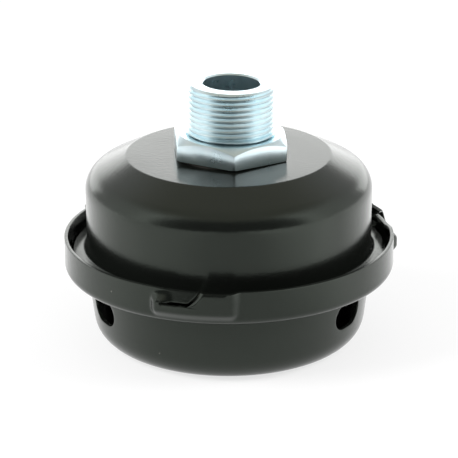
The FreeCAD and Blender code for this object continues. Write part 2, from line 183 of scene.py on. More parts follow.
camera_data = bpy.data.cameras.new("photo_camera")
camera_data.lens = LENS
camera_data.sensor_width = 36.0
camera_data.clip_start = 0.01
camera_data.clip_end = 20.0
camera = bpy.data.objects.new("photo_camera", camera_data)
bpy.context.scene.collection.objects.link(camera)
facing = (TARGET - EYE).to_track_quat("-Z", "Y").to_matrix().to_4x4()
camera.matrix_world = Matrix.Translation(EYE) @ facing @ Matrix.Rotation(math.radians(ROLL), 4, "Z")
bpy.context.scene.camera = camera
print("camera:", [round(c, 4) for c in camera.location], "lens", LENS)

# %% [markdown]
# The studio. Glossy black paint is mostly a mirror: what makes it look right is what stands round it. The
# photograph was taken between two bright side panels, with a white sheet behind and under the filter, a
# dim ceiling and the dark room behind the camera. The world shows that to glossy rays only: low down it
# depends on how far a direction points to the back, and higher up it turns into the ceiling.

# %% World
def wired(tree, kind, **values):
    """A new shader node with some of its settings and sockets filled in."""
    node = tree.nodes.new(kind)
    for key, value in values.items():
        if hasattr(node, key):
            setattr(node, key, value)
        else:
            node.inputs[key].default_value = value
    return node


def link(tree, source, target):
    """Join two sockets."""
    tree.links.new(source, target)


def ranged(tree, value, low, high, from_low=0.0, from_high=1.0, smooth=False):
    """A value moved into another range."""
    node = wired(tree, "ShaderNodeMapRange")
    if smooth:
        node.interpolation_type = "SMOOTHSTEP"
    node.inputs["From Min"].default_value = from_low
    node.inputs["From Max"].default_value = from_high
    node.inputs["To Min"].default_value = low
    node.inputs["To Max"].default_value = high
    link(tree, value, node.inputs["Value"])
    return node.outputs["Result"]


def ramp(tree, value, stops, low=0.0, high=1.0):
    """Brightness along a value: stops are (value, brightness) pairs, with the brightness up to the top."""
    top = max(brightness for place, brightness in stops)
    node = wired(tree, "ShaderNodeValToRGB")
    while len(node.color_ramp.elements) < len(stops):
        node.color_ramp.elements.new(0.5)
    for element, (place, brightness) in zip(node.color_ramp.elements, stops):
        element.position = (place - low) / (high - low)
        element.color = (brightness / top, brightness / top, brightness / top, 1.0)
    link(tree, ranged(tree, value, 0.0, 1.0, low, high), node.inputs["Fac"])
    scaled = wired(tree, "ShaderNodeMath", operation="MULTIPLY")
    link(tree, node.outputs["Color"], scaled.inputs[0])
    scaled.inputs[1].default_value = top
    return scaled.outputs[0]


def chosen_rays(tree, names):
    """One where any of the named kinds of ray arrives."""
    rays = wired(tree, "ShaderNodeLightPath")
    either = rays.outputs[names[0]]
    for name in names[1:]:
        both = wired(tree, "ShaderNodeMath", operation="MAXIMUM")
        link(tree, either, both.inputs[0])
        link(tree, rays.outputs[name], both.inputs[1])
        either = both.outputs[0]
    return either


def shader_mix(tree, mask, first, second):
    """Mix two shaders by a mask."""
    node = wired(tree, "ShaderNodeMixShader")
    link(tree, mask, node.inputs["Fac"])
    link(tree, first.outputs[0], node.inputs[1])
    link(tree, second.outputs[0], node.inputs[2])
    return node


LOW_STOPS = [(-1.0, 0.02), (-0.75, 0.05), (-0.55, 0.25), (-0.36, 1.7), (-0.1, 1.15), (0.3, 0.95), (0.7, 0.6),
             (1.0, 0.5)]
CEILING = (0.50, 0.47, 0.41, 1.0)

world = bpy.data.worlds.new("studio")
bpy.context.scene.world = world
world.use_nodes = True
sky = world.node_tree
sky.nodes.clear()
where = wired(sky, "ShaderNodeTexCoord")
split = wired(sky, "ShaderNodeSeparateXYZ")
link(sky, where.outputs["Generated"], split.inputs[0])
around = wired(sky, "ShaderNodeBackground")
around.inputs["Color"].default_value = (1.0, 1.0, 1.0, 1.0)
link(sky, ramp(sky, split.outputs["Y"], LOW_STOPS, -1.0, 1.0), around.inputs["Strength"])
above = wired(sky, "ShaderNodeBackground", Strength=1.0)
above.inputs["Color"].default_value = CEILING
plain = wired(sky, "ShaderNodeBackground", Strength=0.55)
plain.inputs["Color"].default_value = (1.0, 1.0, 1.0, 1.0)
white = wired(sky, "ShaderNodeBackground", Strength=1.0)
white.inputs["Color"].default_value = (1.0, 1.0, 1.0, 1.0)
room = shader_mix(sky, ranged(sky, split.outputs["Z"], 0.0, 1.0, 0.56, 0.90, True), around, above)
mirrored = shader_mix(sky, chosen_rays(sky, ["Is Glossy Ray"]), plain, room)
seen = shader_mix(sky, chosen_rays(sky, ["Is Camera Ray", "Is Transmission Ray"]), mirrored, white)
out = wired(sky, "ShaderNodeOutputWorld")
link(sky, seen.outputs[0], out.inputs["Surface"])
bpy.context.scene.view_settings.view_transform = "Standard"
print("world:", len(sky.nodes), "nodes")

# %% [markdown]
# The floor is a white sheet. The camera sees it as white with a faint shadow of the filter, and further out
# it turns into the background. The paint mirrors it as well, so for glossy rays it has its own brightness:
# dimmer towards the camera, brighter behind and, in front of the filter, under the two side panels.

# %% Floor
FLOOR_R = 1.6
FLOOR_STOPS = [(-0.5, 0.40), (-0.16, 0.57), (-0.07, 0.64), (0.0, 1.25), (0.08, 1.7), (0.5, 1.5)]
RIGHT_GLOW = 1.0
LEFT_GLOW = 0.4

clear_selection()
bpy.ops.mesh.primitive_circle_add(vertices=96, radius=FLOOR_R, fill_type="NGON", location=(0, 0, -0.02 * MM))
floor = bpy.context.object
floor.name = "floor"
bpy.ops.object.transform_apply(location=True)
floor_paint = bpy.data.materials.new("white_sheet")
floor_paint.use_nodes = True
tree = floor_paint.node_tree
tree.nodes.clear()
card = wired(tree, "ShaderNodeBsdfDiffuse")
card.inputs["Color"].default_value = (0.9, 0.9, 0.9, 1.0)
glow = wired(tree, "ShaderNodeEmission", Strength=1.0)
glow.inputs["Color"].default_value = (1.0, 1.0, 1.0, 1.0)
glare = wired(tree, "ShaderNodeEmission")
glare.inputs["Color"].default_value = (1.0, 1.0, 1.0, 1.0)
where = wired(tree, "ShaderNodeTexCoord")
split = wired(tree, "ShaderNodeSeparateXYZ")
link(tree, where.outputs["Object"], split.inputs[0])
sides = wired(tree, "ShaderNodeMath", operation="ADD")
link(tree, ranged(tree, split.outputs["X"], 0.0, RIGHT_GLOW, 0.04, 0.15, True), sides.inputs[0])
link(tree, ranged(tree, split.outputs["X"], LEFT_GLOW, 0.0, -0.11, -0.03, True), sides.inputs[1])
ahead = wired(tree, "ShaderNodeMath", operation="MULTIPLY")
link(tree, sides.outputs[0], ahead.inputs[0])
link(tree, ranged(tree, split.outputs["Y"], 1.0, 0.0, -0.06, 0.0, True), ahead.inputs[1])
level = wired(tree, "ShaderNodeMath", operation="ADD")
link(tree, ramp(tree, split.outputs["Y"], FLOOR_STOPS, -0.5, 0.5), level.inputs[0])
link(tree, ahead.outputs[0], level.inputs[1])
link(tree, level.outputs[0], glare.inputs["Strength"])
away = wired(tree, "ShaderNodeVectorMath", operation="LENGTH")
link(tree, where.outputs["Object"], away.inputs[0])
seen_white = wired(tree, "ShaderNodeMath", operation="MULTIPLY")
link(tree, chosen_rays(tree, ["Is Camera Ray", "Is Transmission Ray"]), seen_white.inputs[0])
link(tree, ranged(tree, away.outputs["Value"], 0.7, 1.0, 0.3, 0.9, True), seen_white.inputs[1])
mirrored_share = wired(tree, "ShaderNodeMath", operation="MULTIPLY")
link(tree, chosen_rays(tree, ["Is Glossy Ray"]), mirrored_share.inputs[0])
mirrored_share.inputs[1].default_value = 0.75
lit = wired(tree, "ShaderNodeMixShader")
link(tree, seen_white.outputs[0], lit.inputs["Fac"])
link(tree, card.outputs[0], lit.inputs[1])
link(tree, glow.outputs[0], lit.inputs[2])
mixed = shader_mix(tree, mirrored_share.outputs[0], lit, glare)
out = wired(tree, "ShaderNodeOutputMaterial")
link(tree, mixed.outputs[0], out.inputs["Surface"])
floor.data.materials.append(floor_paint)
print("floor:", 2 * FLOOR_R, "m wide")

# %% [markdown]
# Three soft boxes light the colours: two at the sides, which the paint doesn't mirror, and a wide one
# behind, which gives the disc and the shoulder their pale sheen.

# %% Lamps
def softbox(name, place, target, size, power):
    """A rectangular area lamp that looks at a point."""
    lamp_data = bpy.data.lights.new(name, "AREA")
    lamp_data.shape = "RECTANGLE"
    lamp_data.size, lamp_data.size_y = size
    lamp_data.energy = power
    lamp = bpy.data.objects.new(name, lamp_data)
    bpy.context.scene.collection.objects.link(lamp)
    aim = (Vector(target) - Vector(place)).to_track_quat("-Z", "Y").to_matrix().to_4x4()
    lamp.matrix_world = Matrix.Translation(Vector(place)) @ aim
    return lamp


left_lamp = softbox("left_softbox", (-0.75, -0.25, 0.55), (0, 0, 0.03), (0.5, 0.5), 9.0)
right_lamp = softbox("right_softbox", (0.8, -0.1, 0.5), (0, 0, 0.03), (0.5, 0.5), 7.0)
back_lamp = softbox("back_softbox", (0, 1.1, 0.265), (0, 0, 0.04), (2.4, 0.53), 9.2)
for lamp in (left_lamp, right_lamp):
    lamp.visible_glossy = False
print("lamps:", [lamp.name for lamp in (left_lamp, right_lamp, back_lamp)])

# %% [markdown]
# Black stove enamel. The colour itself is almost black; the greys in the picture are reflections. A fine
# orange-peel bump, a slowly changing roughness and a few specks of dust keep it from looking like plastic.
# Dust and peel are node groups; the rubber further down uses the peel as well.

# %% Black enamel
def new_group(name, inputs, outputs):
    """An empty shader node group with float inputs as (name, value) and outputs as (name, socket kind)."""
    group = bpy.data.node_groups.new(name, "ShaderNodeTree")
    for label, value in inputs:
        socket = group.interface.new_socket(label, in_out="INPUT", socket_type="NodeSocketFloat")
        socket.default_value = value
    for label, kind in outputs:
        group.interface.new_socket(label, in_out="OUTPUT", socket_type=kind)
    entry = group.nodes.new("NodeGroupInput")
    leave = group.nodes.new("NodeGroupOutput")
    return group, entry, leave


peel_group, entry, leave = new_group("orange_peel", [("Scale", 900.0)], [("Height", "NodeSocketFloat")])
where = wired(peel_group, "ShaderNodeTexCoord")
waves = wired(peel_group, "ShaderNodeTexNoise", Detail=2.0, Roughness=0.45)
link(peel_group, where.outputs["Object"], waves.inputs["Vector"])
link(peel_group, entry.outputs["Scale"], waves.inputs["Scale"])
link(peel_group, waves.outputs["Fac"], leave.inputs["Height"])

speck_group, entry, leave = new_group(
    "dust_specks", [("Scale", 260.0), ("Size", 0.05), ("Share", 0.12)], [("Mask", "NodeSocketFloat")])
where = wired(speck_group, "ShaderNodeTexCoord")
cells = wired(speck_group, "ShaderNodeTexVoronoi", feature="F1")
link(speck_group, where.outputs["Object"], cells.inputs["Vector"])
link(speck_group, entry.outputs["Scale"], cells.inputs["Scale"])
near = wired(speck_group, "ShaderNodeMath", operation="LESS_THAN")
link(speck_group, cells.outputs["Distance"], near.inputs[0])
link(speck_group, entry.outputs["Size"], near.inputs[1])
parts = wired(speck_group, "ShaderNodeSeparateColor")
link(speck_group, cells.outputs["Color"], parts.inputs[0])
few = wired(speck_group, "ShaderNodeMath", operation="LESS_THAN")
link(speck_group, parts.outputs["Red"], few.inputs[0])
link(speck_group, entry.outputs["Share"], few.inputs[1])
both = wired(speck_group, "ShaderNodeMath", operation="MULTIPLY")
link(speck_group, near.outputs[0], both.inputs[0])
link(speck_group, few.outputs[0], both.inputs[1])
link(speck_group, both.outputs[0], leave.inputs["Mask"])


def new_material(name):
    """A material with one Principled shader."""
    material = bpy.data.materials.new(name)
    material.use_nodes = True
    tree = material.node_tree
    tree.nodes.clear()
    shader = tree.nodes.new("ShaderNodeBsdfPrincipled")
    result = tree.nodes.new("ShaderNodeOutputMaterial")
    link(tree, shader.outputs[0], result.inputs["Surface"])
    return material, tree, shader


def grouped(tree, group, **values):
    """Place a node group with its own values."""
    node = tree.nodes.new("ShaderNodeGroup")
    node.node_tree = group
    for key, value in values.items():
        node.inputs[key].default_value = value
    return node


def mixed_colour(tree, mask, first, second):
    """A colour between two others by a mask socket."""
    node = wired(tree, "ShaderNodeMix", data_type="RGBA")
    link(tree, mask, node.inputs["Factor"])
    node.inputs["A"].default_value = first + (1.0,)
    node.inputs["B"].default_value = second + (1.0,)
    return node.outputs["Result"]


def bumped(tree, shader, height, distance, strength=1.0):
    """Feed a height into the shader's normal."""
    node = wired(tree, "ShaderNodeBump", Strength=strength, Distance=distance)
    link(tree, height, node.inputs["Height"])
    link(tree, node.outputs["Normal"], shader.inputs["Normal"])
    return node


enamel, tree, shader = new_material("black_enamel")
where = wired(tree, "ShaderNodeTexCoord")
clouds = wired(tree, "ShaderNodeTexNoise", Scale=55.0, Detail=3.0)
link(tree, where.outputs["Object"], clouds.inputs["Vector"])
link(tree, ranged(tree, clouds.outputs["Fac"], 0.17, 0.24), shader.inputs["Roughness"])
dust = grouped(tree, speck_group, Scale=300.0, Size=0.07, Share=0.02)
link(tree, mixed_colour(tree, dust.outputs["Mask"], (0.006, 0.007, 0.006), (0.10, 0.10, 0.09)),
     shader.inputs["Base Color"])
peel = grouped(tree, peel_group, Scale=1100.0)
bumped(tree, shader, peel.outputs["Height"], 0.00003)
shader.inputs["Specular Tint"].default_value = (0.88, 1.0, 0.87, 1.0)
print("black enamel ready")

# %% [markdown]
# The bell is one pressed sheet: a flat disc, a sloping shoulder, a straight wall and a flange at its foot
# with three tabs for the twist lock. The outside is spun from its profile, the tabs are pulled out of the
# flange's edge and their corners are clipped, so that they catch less on the pockets. A Solidify modifier
# gives the sheet its thickness towards the inside.

# %% Bell
SHEET = 1.0
BELL_TOP = 56.1
FLANGE_TOP = 27.5
FLANGE_R = 45.9
TAB_R = 48.6
TAB_START = -9.05
TAB_SWEEP = 10.0
CORNER_CLIP = 0.9
LOCKS = 3


def in_window(azimuth, start, sweep):
    """Whether an azimuth lies in a window that repeats for each lock."""
    return (azimuth - start) % (360.0 / LOCKS) <= sweep


bell_profile = rounded([
    (13.6, BELL_TOP, 0), (15, BELL_TOP, 0), (22, BELL_TOP, 0), (30, BELL_TOP, 1.5), (42.1, 50.2, 7.0),
    (41.95, 44, 0), (41.9, 38, 0), (41.85, 33, 0), (41.8, FLANGE_TOP, 1.5), (FLANGE_R, FLANGE_TOP, 0)], 8)
bell = spun("bell", bell_profile, TAB_START, [(360.0, 288)])
make_active(bell)
bpy.ops.object.mode_set(mode="EDIT")
tab_edges = pick(bell, "edges", lambda edge, middle: edge.is_boundary and radius_of(middle) > FLANGE_R - 1
                 and in_window(azimuth_of(middle), TAB_START, TAB_SWEEP))
bpy.ops.mesh.extrude_edges_move()
grow = TAB_R / FLANGE_R
bpy.ops.transform.resize(value=(grow, grow, 1), center_override=(0, 0, 0))
corners = pick(bell, "verts", lambda vertex, middle: radius_of(middle) > TAB_R - 0.1
               and not in_window(azimuth_of(middle), TAB_START + 0.5, TAB_SWEEP - 1.0))
grow = (TAB_R - CORNER_CLIP) / TAB_R
bpy.ops.transform.resize(value=(grow, grow, 1), center_override=(0, 0, 0))
bpy.ops.object.mode_set(mode="OBJECT")
apply_modifier(bell, "SOLIDIFY", thickness=SHEET * MM, offset=-1, use_even_offset=True)
bevelled(bell, 0.25, 50)
smoothed(bell, 40)
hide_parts("bell_housing")
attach(bell, "bell")
print("bell:", tab_edges, "tab edges,", corners, "tab corners,", len(bell.data.polygons), "faces")
bell.data.materials.append(enamel)

# %% [markdown]
# The pan is one deep-drawn sheet as well, with more shape in it: a rim like a gutter, three pockets pressed
# out of the rim for the tabs of the bell, a slit over each pocket and a lip above the slit that leans in and
# holds the tab down, and three oblong air holes. All of that repeats every 120 degrees, so one third is
# shaped and copied. The grid is finest where the pocket is.

# %% Pan, one third as a sheet
PAN_LOW_R = 40.2
PAN_TOP_R = 41.9
PAN_ROUND = 8.0
CHANNEL_Z = 21.2
RIM_ROUND = 2.6
RIM_R = 48.5
RIM_TOP = 31.5
SLIT_LOW = 27.3
SLIT_TOP = 27.7
TAPER = (PAN_TOP_R - PAN_LOW_R) / (CHANNEL_Z - PAN_ROUND)
WALL_FROM = 9.1
WALL_STEP = 0.9
THIRD_START = -48.0
THIRD_SWEEPS = [(17.0, 17), (37.0, 110), (66.0, 66)]


def wall_r(height):
    """Outside of the pan's slightly conical wall."""
    return PAN_LOW_R + TAPER * (height - PAN_ROUND)


wall_heights = [WALL_FROM + WALL_STEP * i for i in range(12)] + [19.8]
wall_rows = [(wall_r(height), height, 0) for height in wall_heights]
rim_rows = [(RIM_R, z, 0) for z in (
    24.0, 24.4, 24.8, 25.2, 25.6, 25.9, 26.2, 26.4, 26.65, 26.95, SLIT_LOW, SLIT_TOP, 28.15, 28.6, 29.5,
    30.4, 31.0, RIM_TOP)]
low = rounded([(0, 0, 0), (12, 0, 0), (24, 0, 0), (wall_r(0), 0, PAN_ROUND), wall_rows[0]], 10)
middle = rounded(wall_rows + [(PAN_TOP_R, CHANNEL_Z, 1.2), (44.3, CHANNEL_Z, 0)], 5)
gutter = rounded([(44.3, CHANNEL_Z, 0), (RIM_R, CHANNEL_Z, RIM_ROUND), rim_rows[0]], 24)
third_profile = low[:-1] + middle[:-1] + gutter[:-1] + [Vector(row[:2]) for row in rim_rows]
pan = spun("pan", third_profile, THIRD_START, THIRD_SWEEPS)
print("pan third:", len(pan.data.vertices), "vertices in", len(third_profile), "rows")

# %% [markdown]
# The lip and the pocket are cut from each other along a line that first runs level and then leans up to the
# rim's top edge. The columns of the grid are leaned over so that they follow that line, the lip's top is
# bent inwards, and the faces along the cut are taken out. Shears pull the sheet in on both sides of their
# cut, and the paint rounds it further, so the last columns roll inwards. CLOSE is the slack in millimetres
# or degrees for finding a row or a column by its place.

# %% Shear the lip free
POCKET_START = -27.6
POCKET_END = 3.9
SLIT_START = -22.3
CUT_END = -9.6
LIP_GAP = 0.4
LIP_SLANT = 4.1
CUT_CURVE = 1.7
LIP_LEAN = 0.75
LIP_BEND = 0.38
LIP_SINK = 0.35
ROLL_WIDTH = 1.3
ROLL_DEPTH = 0.6
SLIT_ROLL = 0.1
ROLL_FADE = 0.5
MOUTH_FROM = 30.2
MOUTH_ROLL = 0.3
LEAN_FROM = POCKET_START + 1.5
LEAN_TO = -1.0
CLOSE = 0.01


def cut_share(azimuth):
    """How fully a column follows the slanted cut: all of it at the cut, none at the ends of the pocket."""
    if azimuth <= CUT_END:
        return (azimuth - LEAN_FROM) / (CUT_END - LEAN_FROM)
    return (LEAN_TO - azimuth) / (LEAN_TO - CUT_END)


def cut_lean(height):
    """Degrees that the cut lies behind its top end: it leaves the slit level and ends upright."""
    return LIP_SLANT * (max(RIM_TOP - height, 0.0) / (RIM_TOP - SLIT_LOW)) ** CUT_CURVE


def lip_bend(azimuth):
    """Share of the lip's full lean: an even bend near its root, then level."""
    bend = min(max((azimuth - LEAN_FROM) / (CUT_END - LEAN_FROM) / LIP_BEND, 0.0), 1.0)
    return bend * bend * (3 - 2 * bend)


def rolled_in(degrees, height):
    """How far the sheet is pulled in near the cut: fully beside the lip, less along the slit."""
    away = math.hypot(max(math.radians(degrees) * RIM_R, 0.0), max(SLIT_LOW - height, 0.0))
    up = min(max((height - SLIT_LOW) / (SLIT_TOP + ROLL_FADE - SLIT_LOW), 0.0), 1.0)
    depth = SLIT_ROLL + (ROLL_DEPTH - SLIT_ROLL) * up
    return depth * max(1 - away / ROLL_WIDTH, 0.0) ** 2


columns = sorted({round(azimuth_of(v.co), 3) for v in pan.data.vertices if v.co.z > 30 * MM})
lip_column = max(a for a in columns if a <= CUT_END - LIP_GAP)
wall_column = min(a for a in columns if a > CUT_END)
make_active(pan)
bpy.ops.object.mode_set(mode="EDIT")
slit_faces = pick(pan, "faces", lambda face, middle: SLIT_START < azimuth_of(middle) < wall_column
                  and SLIT_LOW < middle.z / MM < SLIT_TOP)
bpy.ops.mesh.delete(type="FACE")
end_faces = pick(pan, "faces", lambda face, middle: lip_column < azimuth_of(middle) < wall_column
                 and middle.z / MM > SLIT_TOP)
bpy.ops.mesh.delete(type="FACE")
shape = bmesh.from_edit_mesh(pan.data)
for vertex in shape.verts:
    height = vertex.co.z / MM
    azimuth = azimuth_of(vertex.co)
    radius = radius_of(vertex.co)
    if height < SLIT_LOW - ROLL_WIDTH or not LEAN_FROM < azimuth < LEAN_TO:
        continue
    turned = azimuth
    if height > SLIT_LOW - CLOSE:
        turned -= cut_share(azimuth) * cut_lean(height)
    from_cut = turned - wall_column + cut_lean(max(height, SLIT_LOW))
    if azimuth < lip_column + CLOSE and height > SLIT_TOP - CLOSE:
        up = (height - SLIT_TOP) / (RIM_TOP - SLIT_TOP)
        radius -= LIP_LEAN * lip_bend(azimuth) * up + rolled_in(-from_cut, height)
        height -= LIP_SINK * cut_share(azimuth) * up
    elif azimuth > SLIT_START - CLOSE:
        mouth = max(height - MOUTH_FROM, 0.0) / (RIM_TOP - MOUTH_FROM)
        radius -= rolled_in(from_cut, height) + MOUTH_ROLL * mouth ** 2
    vertex.co = at_azimuth(radius, height, turned)
bmesh.update_edit_mesh(pan.data)
print("lip:", slit_faces, "faces for the slit,", end_faces, "for the lip's end")

# %% [markdown]
# The pocket itself is pressed out: the middle of its wall is scaled away from the axis, and proportional
# editing with a smooth falloff draws the sheet around it along, in the soft fold that a press leaves. Only
# connected faces follow, so the lip on the other side of the slit stays where it is.

# %% Press the pocket out
POCKET_OUT = 1.7
POCKET_ROUND = 2.9
POCKET_LOW = 22.4
ROUND_SWEEP = math.degrees(POCKET_ROUND / (RIM_R + POCKET_OUT))


def in_pocket(vertex, middle):
    """Whether a vertex belongs to the flat of the pocket's wall."""
    height = middle.z / MM
    azimuth = azimuth_of(middle)
    if radius_of(middle) < RIM_R - ROLL_DEPTH - MOUTH_ROLL - CLOSE:
        return False
    if height < POCKET_LOW + POCKET_ROUND - CLOSE:
        return False
    if not POCKET_START + ROUND_SWEEP < azimuth < POCKET_END - ROUND_SWEEP:
        return False
    if azimuth < SLIT_START:
        return height < SLIT_TOP + CLOSE
    return height < SLIT_LOW + CLOSE or azimuth > wall_column - CLOSE - cut_lean(height)


pressed = pick(pan, "verts", in_pocket)
grow = 1 + POCKET_OUT / RIM_R
bpy.ops.transform.resize(
    value=(grow, grow, 1), center_override=(0, 0, 0), use_proportional_edit=True,
    proportional_edit_falloff="SMOOTH", proportional_size=POCKET_ROUND * MM, use_proportional_connected=True)
bpy.ops.object.mode_set(mode="OBJECT")
print("pocket:", pressed, "vertices pressed out to", widest(pan), "mm")

# %% [markdown]
# The air holes are punched through the wall. A boolean would leave a ragged grid round the hole, so here
# the faces inside its outline are removed, the edge that is left is laid evenly along the oblong, and the
# vertices close to it are relaxed.

# %% Punch the air hole
HOLE_AZIMUTH = 57.0
HOLE_Z = 14.5
HOLE_END_R = 4.35
HOLE_REACH = 6.3 - HOLE_END_R
HOLE_AT_R = wall_r(HOLE_Z)
BAND_LOW = 8.5
BAND_TOP = 20.0
ANY_DEPTH = -100.0
RELAX_ROUNDS = 8


def on_wall(across, up):
    """A point of the wall from its distances to the middle of the air hole."""
    return at_azimuth(wall_r(HOLE_Z + up), HOLE_Z + up, HOLE_AZIMUTH + math.degrees(across / HOLE_AT_R))


def from_hole(place):
    """Distances of a point of the wall to the middle of the air hole."""
    return Vector((math.radians(azimuth_of(place) - HOLE_AZIMUTH) * HOLE_AT_R, place.z / MM - HOLE_Z))


def past_edge(flat):
    """Distance outside the oblong's edge; negative inside."""
    return math.hypot(max(abs(flat.x) - HOLE_REACH, 0.0), flat.y) - HOLE_END_R


def by_hole(place, least, most):
    """Whether a point of the wall lies between two distances past the oblong's edge."""
    on_wall_band = radius_of(place) < HOLE_AT_R + 1 and BAND_LOW < place.z / MM < BAND_TOP
    return on_wall_band and least < past_edge(from_hole(place)) < most


def oblong_point(share):
    """Point on the oblong at a share of the way round it, from its right end."""
    straight = 2 * HOLE_REACH
    bend = math.pi * HOLE_END_R
    along = share * 2 * (straight + bend)
    if bend / 2 < along <= bend / 2 + straight:
        return Vector((HOLE_REACH - (along - bend / 2), HOLE_END_R))
    if bend * 1.5 + straight < along <= bend * 1.5 + straight * 2:
        return Vector((along - 1.5 * bend - straight - HOLE_REACH, -HOLE_END_R))
    middle = HOLE_REACH
    if bend / 2 < along <= bend * 1.5 + straight:
        middle = -HOLE_REACH
        along -= straight
    elif along > bend:
        along -= 2 * straight
    turn = along / HOLE_END_R
    return Vector((middle + HOLE_END_R * math.cos(turn), HOLE_END_R * math.sin(turn)))


shape = bmesh.new()
shape.from_mesh(pan.data)
inside = [f for f in shape.faces if by_hole(f.calc_center_median(), ANY_DEPTH, -0.3)]
bmesh.ops.delete(shape, geom=inside, context="FACES")
rim = [v for v in shape.verts if v.is_boundary and by_hole(v.co, -1.5, 1.5)]
loop = [max(rim, key=lambda v: from_hole(v.co).x - abs(from_hole(v.co).y))]
while True:
    steps = [e.other_vert(loop[-1]) for e in loop[-1].link_edges if e.is_boundary]
    ahead = [v for v in steps if v not in loop[-2:]]
    if len(loop) == 1:
        ahead = [max(steps, key=lambda v: v.co.z)]
    if not ahead or ahead[0] is loop[0]:
        break
    loop.append(ahead[0])
for k, vertex in enumerate(loop):
    flat = oblong_point(k / len(loop))
    vertex.co = on_wall(flat.x, flat.y)
close = [v for v in shape.verts if v not in loop and not v.is_boundary and by_hole(v.co, ANY_DEPTH, 2.0)]
for _ in range(RELAX_ROUNDS):
    moved = {}
    for vertex in close:
        near = [from_hole(e.other_vert(vertex).co) for e in vertex.link_edges]
        moved[vertex] = sum(near, Vector((0, 0))) / len(near)
    for vertex, flat in moved.items():
        vertex.co = on_wall(flat.x, flat.y)
shape.to_mesh(pan.data)
shape.free()
print("air hole:", len(inside), "faces out,", len(loop), "vertices round the edge")

# %% [markdown]
# The finished third is copied twice round the axis, and the three are merged into one skin. Solidify then
# gives the sheet its thickness inwards, and a small bevel takes the sharpness off its sheared edges.

# %% Pan, three thirds and the sheet's thickness
thirds = [pan]
for turn in (120.0, 240.0):
    make_active(pan)
    bpy.ops.object.duplicate(linked=False)
    other = bpy.context.object
    other.data.transform(Matrix.Rotation(math.radians(turn), 4, "Z"))
    thirds.append(other)
clear_selection()
for third in thirds:
    third.select_set(True)
bpy.context.view_layer.objects.active = pan
bpy.ops.object.join()
bpy.ops.object.mode_set(mode="EDIT")
bpy.ops.mesh.select_all(action="SELECT")
bpy.ops.mesh.remove_doubles(threshold=2e-6)
bpy.ops.mesh.normals_make_consistent(inside=False)
bpy.ops.object.mode_set(mode="OBJECT")
apply_modifier(pan, "SOLIDIFY", thickness=SHEET * MM, offset=-1, use_even_offset=True)
bevelled(pan, 0.3, 50)
smoothed(pan, 40)
pan.data.materials.append(enamel)
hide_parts("lower_pan")
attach(pan, "pan")
print("pan:", len(pan.data.polygons), "faces, widest", widest(pan))

# %% [markdown]
# The nipple is turned from hexagon bar and zinc plated. In CAD its thread is a plain cylinder; here it gets
# the real helix: one pitch of the thread's profile is swept by the screw operator, cut flat at both ends
# and then trimmed by a turned blank, which brings the chamfer at the top and the groove above the hexagon.

# %% Thread
THREAD_R = 13.22
ROOT_R = 12.3
PITCH = 1.575
CREST_AT_FRONT = 64.98
HEX_Z = 56.65
HEX_TOP = 62.8
NIPPLE_TOP = 77.75
NIPPLE_LOW = 46.6
NECK_R = 12.0
BLANK_R = 13.4
MOUTH_CHAMFER = 1.05
FULL_TURN = [(360.0, 144)]


def thread_profile(height):
    """One pitch of a worn, rounded thread, from root to root."""
    steps = 12
    depth = THREAD_R - ROOT_R
    points = []
    for k in range(steps + 1):
        swing = 0.5 - 0.5 * math.cos(2 * math.pi * k / steps)
        points.append(Vector((ROOT_R + depth * swing ** 0.8, height + PITCH * k / steps)))
    return points


def boolean_with(piece, tool, operation):
    """Combine two closed pieces and remove the tool."""
    apply_modifier(piece, "BOOLEAN", operation=operation, object=tool, solver="EXACT")
    bpy.data.objects.remove(tool)
    return piece


def threaded_bar(name, low, high):
    """A solid bar with the thread all round, cut flat at two heights."""
    start = CREST_AT_FRONT + PITCH * (math.ceil((high - CREST_AT_FRONT) / PITCH) + 1.5)
    turns = math.ceil((start - low) / PITCH) + 2
    piece = drawn_profile(name, thread_profile(start))
    bpy.ops.mesh.select_all(action="SELECT")
    bpy.ops.mesh.screw(steps=72, turns=turns, center=(0, 0, 0), axis=(0, 0, -1))
    bpy.ops.mesh.select_all(action="SELECT")
    bpy.ops.mesh.remove_doubles(threshold=2e-6)
    for height, keep_above in ((low, True), (high, False)):
        bpy.ops.mesh.select_all(action="SELECT")
        bpy.ops.mesh.bisect(plane_co=(0, 0, height * MM), plane_no=(0, 0, 1), use_fill=True,
                            clear_inner=keep_above, clear_outer=not keep_above)
    bpy.ops.mesh.select_all(action="SELECT")
    bpy.ops.mesh.normals_make_consistent(inside=False)
    bpy.ops.object.mode_set(mode="OBJECT")
    return piece


nipple = threaded_bar("nipple", HEX_TOP - 0.6, NIPPLE_TOP + 0.5)
heights = [v.co.z / MM for v in nipple.data.vertices]
print("thread:", len(nipple.data.polygons), "faces, high from and to:",
      round(min(heights), 2), round(max(heights), 2))
blank = spun("blank", rounded([
    (0, HEX_TOP - 0.4, 0), (NECK_R, HEX_TOP - 0.4, 0), (NECK_R, HEX_TOP + 1.0, 0),
    (BLANK_R, HEX_TOP + 1.6, 0), (BLANK_R, NIPPLE_TOP - MOUTH_CHAMFER, 0),
    (BLANK_R - MOUTH_CHAMFER, NIPPLE_TOP, 0.15), (0, NIPPLE_TOP, 0)]), 0, FULL_TURN)
boolean_with(nipple, blank, "INTERSECT")
print("thread after trimming:", len(nipple.data.polygons), "faces")

# %% [markdown]
# The hexagon starts as a six-sided cylinder. A turned blank with a cone on top cuts its corners back, which
# gives the curved edges of a real nut. The thread ends in a full ring over a narrow groove. The nipple sits
# in its hole with some play, so it leans a little.

